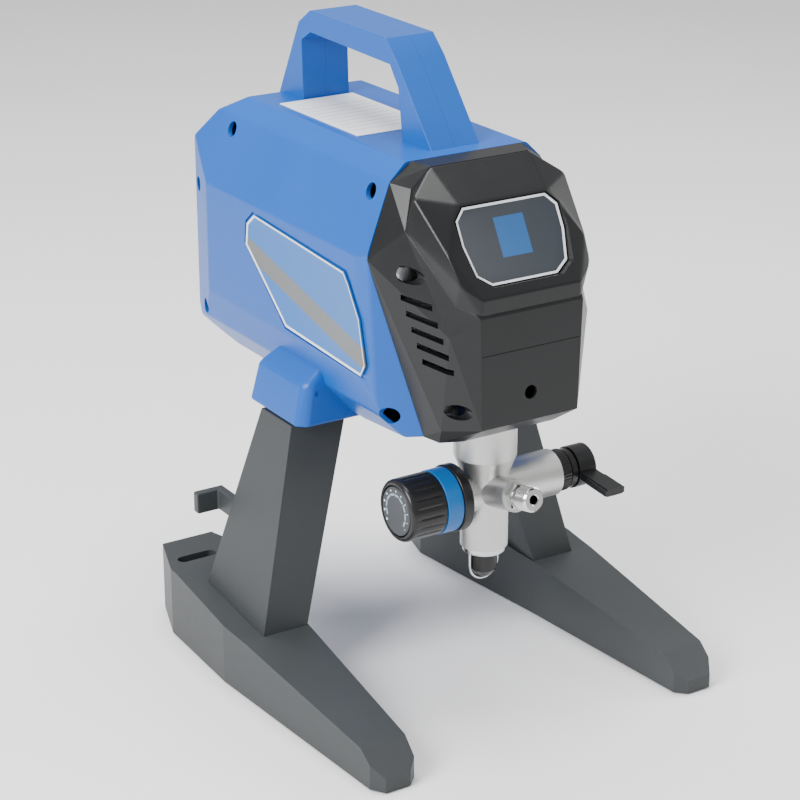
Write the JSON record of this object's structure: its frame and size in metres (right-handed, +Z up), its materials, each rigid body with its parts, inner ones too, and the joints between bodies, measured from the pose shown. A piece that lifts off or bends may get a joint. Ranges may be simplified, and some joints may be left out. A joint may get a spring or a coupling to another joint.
{
  "type": "airless paint sprayer",
  "caption": "Stand-mounted airless paint sprayer: motor and crank drive in a carried shell above a piston pump with pressure knob, prime lever and hose fitting.",
  "frame": {"origin": "centre of the bounding box, on the floor between the feet", "axes": "+Z up, pump and toes towards -Y, +X to the right when seen from the pump side"},
  "size_m": [0.284, 0.374, 0.424],
  "materials": {
    "housing_blue": "satin moulded",
    "cover_black": "satin moulded",
    "stand_charcoal": "fine texture",
    "control_black": "gloss",
    "dial_grey": "satin",
    "badge_slate": "satin",
    "badge_blue": "satin",
    "plate_white": "satin",
    "rubber_black": "matte",
    "cast_aluminium": "bead blasted",
    "plated_steel": "plated",
    "screw_steel": "zinc plated",
    "tool_steel": "ground",
    "motor_steel": "painted",
    "piston_brass": "machined",
    "packing_tan": "oiled",
    "fan_ivory": "moulded",
    "board_green": "lacquered",
    "rocker_red": "gloss"
  },
  "bodies": {
    "chassis": {"housing_left": "housing_blue", "housing_right": "housing_blue", "housing_screws": "screw_steel", "front_cover": "cover_black", "cover_screws": "screw_steel", "front_badge": "badge_slate", "side_badge_left": "badge_blue", "side_badge_right": "badge_blue", "rating_plate": "plate_white", "leg_left": "stand_charcoal", "leg_right": "stand_charcoal", "leg_bolts": "screw_steel", "foot_left": "stand_charcoal", "foot_right": "stand_charcoal", "toe_left": "stand_charcoal", "toe_right": "stand_charcoal", "cable_hook_left": "stand_charcoal", "cable_hook_right": "stand_charcoal", "foot_pads": "rubber_black", "gear_case_front": "cast_aluminium", "gear_case_rear": "cast_aluminium", "gear_case_posts": "screw_steel", "bearings": "tool_steel", "motor_can": "motor_steel", "motor_magnets": "motor_steel", "motor_end_cap": "cast_aluminium", "brush_holders": "piston_brass", "packings": "packing_tan", "pump_casting": "cast_aluminium", "inlet_seat": "tool_steel", "cylinder_ring": "plated_steel", "suction_inlet": "control_black", "inlet_clip": "plated_steel", "hose_fitting": "plated_steel", "regulator_nut": "plated_steel", "regulator_flange": "control_black", "regulator_spring": "plated_steel", "valve_cap": "control_black", "circuit_board": "board_green", "switch_bezel": "control_black", "cord_gland": "control_black"},
    "rotor": {"armature": "motor_steel", "armature_shaft": "tool_steel", "motor_fan": "fan_ivory"},
    "reduction": {"reduction_gear": "tool_steel"},
    "crank": {"crank_gear": "tool_steel", "crank_shaft": "tool_steel"},
    "plunger": {"yoke": "tool_steel", "piston_rod": "tool_steel", "piston": "piston_brass"},
    "piston_ball": {"upper_ball": "tool_steel"},
    "foot_ball": {"inlet_ball": "tool_steel"},
    "knob": {"regulator_plunger": "plated_steel", "pressure_knob": "control_black", "knob_band": "housing_blue", "knob_dial": "dial_grey"},
    "lever": {"valve_stem": "plated_steel", "prime_lever": "control_black"},
    "rocker": {"rocker_switch": "rocker_red"}
  },
  "joints": [
    {"name": "armature_spin", "type": "hinge", "parent": "chassis", "child": "rotor", "pos_m": [0, 0, 0.27959], "axis": [0, 1, 0], "continuous": true},
    {"name": "reduction_spin", "type": "hinge", "parent": "chassis", "child": "reduction", "pos_m": [0.028, -0.06, 0.30499], "axis": [0, 1, 0], "continuous": true},
    {"name": "crank_spin", "type": "hinge", "parent": "chassis", "child": "crank", "pos_m": [0, -0.07, 0.262], "axis": [0, 1, 0], "continuous": true},
    {"name": "piston_slide", "type": "slide", "parent": "chassis", "child": "plunger", "axis": [0, 0, 1], "range_m": [-0.009, 0.009]},
    {"name": "piston_ball_lift", "type": "slide", "parent": "plunger", "child": "piston_ball", "axis": [0, 0, 1], "range_m": [0, 0.0015]},
    {"name": "inlet_ball_lift", "type": "slide", "parent": "chassis", "child": "foot_ball", "axis": [0, 0, 1], "range_m": [0, 0.003]},
    {"name": "pressure_knob_turn", "type": "hinge", "parent": "chassis", "child": "knob", "pos_m": [-0.05, -0.1045, 0.144], "axis": [1, 0, 0], "range_deg": [0, 270]},
    {"name": "prime_lever_turn", "type": "hinge", "parent": "chassis", "child": "lever", "pos_m": [0.07, -0.1045, 0.144], "axis": [1, 0, 0], "range_deg": [0, 90]},
    {"name": "rocker_tilt", "type": "hinge", "parent": "chassis", "child": "rocker", "pos_m": [0, 0.179, 0.249], "axis": [1, 0, 0], "range_deg": [-16, 0]}
  ],
  "couplings": [
    {"joint": "reduction_spin", "follows": "armature_spin", "ratio": -0.28571},
    {"joint": "crank_spin", "follows": "armature_spin", "ratio": 0.081633}
  ]
}
